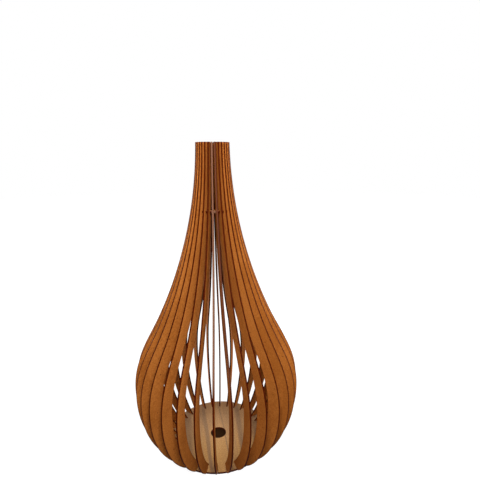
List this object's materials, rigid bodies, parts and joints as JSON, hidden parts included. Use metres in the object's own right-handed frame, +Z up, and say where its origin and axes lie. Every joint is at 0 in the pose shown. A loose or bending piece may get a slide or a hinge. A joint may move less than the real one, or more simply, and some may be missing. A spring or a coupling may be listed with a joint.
{
  "type": "floor vase",
  "caption": "Teardrop floor vase of flat radial slats that stand in the slots of a round base disc and are tied by a slotted ring in the narrow neck.",
  "frame": {"origin": "on the floor, at the centre of the base disc's underside", "axes": "+Z up along the vase's axis; -Y points to the front, where slat_01 stands; +X to the right seen from the front"},
  "size_m": [0.349, 0.349, 0.65],
  "materials": {
    "slat_board": "matt orange-brown fibreboard with dark laser-burnt edges",
    "disc_board": "pale tan veneered board with straight grain and a dark laser-burnt rim",
    "ring_board": "tan board with dark laser-burnt edges"
  },
  "bodies": {
    "root": {"slat_01": "slat_board", "slat_02": "slat_board", "slat_03": "slat_board", "slat_04": "slat_board", "slat_05": "slat_board", "slat_06": "slat_board", "slat_07": "slat_board", "slat_08": "slat_board", "slat_09": "slat_board", "slat_10": "slat_board", "slat_11": "slat_board", "slat_12": "slat_board", "slat_13": "slat_board", "slat_14": "slat_board", "slat_15": "slat_board", "slat_16": "slat_board", "slat_17": "slat_board", "slat_18": "slat_board", "slat_19": "slat_board", "slat_20": "slat_board", "slat_21": "slat_board", "slat_22": "slat_board", "slat_23": "slat_board", "slat_24": "slat_board", "slat_25": "slat_board", "slat_26": "slat_board", "slat_27": "slat_board", "slat_28": "slat_board", "slat_29": "slat_board", "slat_30": "slat_board", "slat_31": "slat_board", "slat_32": "slat_board", "base_disc": "disc_board", "neck_ring": "ring_board"}
  },
  "joints": []
}
